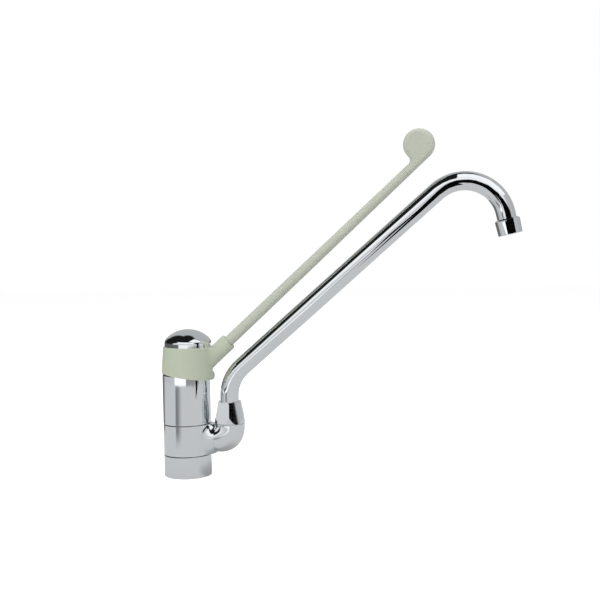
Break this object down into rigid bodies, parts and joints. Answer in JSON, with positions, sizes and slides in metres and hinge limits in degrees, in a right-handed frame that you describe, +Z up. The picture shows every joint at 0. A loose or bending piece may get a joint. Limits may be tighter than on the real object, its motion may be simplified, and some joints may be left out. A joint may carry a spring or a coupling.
{
  "type": "single-lever basin and bar mixer tap",
  "caption": "Deck-mounted single-lever mixer tap with a long swivelling tube spout bent down at its end and a long lever with a round paddle.",
  "frame": {"origin": "centre of the round base, on the plane where it rests on the deck", "axes": "+Z up along the body; +X the way the spout and the closed lever point; +Y to the left of the spout"},
  "size_m": [0.3518, 0.0504, 0.3352],
  "materials": {
    "chromed_brass": "polished chrome plate over brass",
    "lever_plastic": "satin moulded plastic, pale grey-beige",
    "slip_plastic": "low-friction plastic, near black",
    "black_rubber": "moulded seal rubber",
    "plain_brass": "machined, not plated",
    "stainless": "plain stainless steel",
    "zinc_casting": "raw die casting",
    "cartridge_plastic": "glass-filled moulding, off-white",
    "guide_plastic": "slippery moulding, blue",
    "ceramic": "lapped alumina, opaque"
  },
  "bodies": {
    "mixer_body": {"base_ring": "chromed_brass", "base_gasket": "black_rubber", "body_core": "chromed_brass", "lower_slip_ring": "slip_plastic", "upper_slip_ring": "slip_plastic", "lower_o_ring": "black_rubber", "upper_o_ring": "black_rubber", "cartridge_base": "cartridge_plastic", "port_seals": "black_rubber", "disc_seals": "black_rubber", "fixed_disc": "ceramic", "cartridge_housing": "cartridge_plastic", "retaining_nut": "plain_brass"},
    "swivel_spout": {"swivel_ring": "chromed_brass", "spout_seal": "black_rubber", "tube_ferrule": "plain_brass", "spout_nut": "chromed_brass", "spout_tube": "chromed_brass", "tube_end_fitting": "chromed_brass", "aerator_washer": "black_rubber", "aerator_screen": "stainless", "aerator_insert": "cartridge_plastic", "aerator_shell": "chromed_brass"},
    "cartridge_guide": {"rotating_guide": "guide_plastic", "pivot_pin": "stainless"},
    "disc_carriage": {"disc_carrier": "guide_plastic", "moving_disc": "ceramic"},
    "lever": {"spindle": "stainless", "lever_hub": "zinc_casting", "hub_screw": "stainless", "collar_screws": "stainless", "lever_collar": "lever_plastic", "dome_cap": "chromed_brass", "stick_core": "stainless", "lever_stick": "lever_plastic"}
  },
  "joints": [
    {"name": "spout_swivel", "type": "hinge", "parent": "mixer_body", "child": "swivel_spout", "pos_m": [0, 0, 0], "axis": [0, 0, 1], "continuous": true},
    {"name": "lever_turn", "type": "hinge", "parent": "mixer_body", "child": "cartridge_guide", "pos_m": [0, 0, 0.093], "axis": [0, 0, 1], "range_deg": [-50, 50]},
    {"name": "lever_lift", "type": "hinge", "parent": "cartridge_guide", "child": "lever", "pos_m": [0, 0, 0.093], "axis": [0, -1, 0], "range_deg": [0, 25]},
    {"name": "carriage_slide", "type": "slide", "parent": "cartridge_guide", "child": "disc_carriage", "axis": [1, 0, 0], "range_m": [0, 0.0056]}
  ],
  "couplings": [
    {"joint": "carriage_slide", "follows": "lever_lift", "m_per_rad": 0.012638}
  ]
}
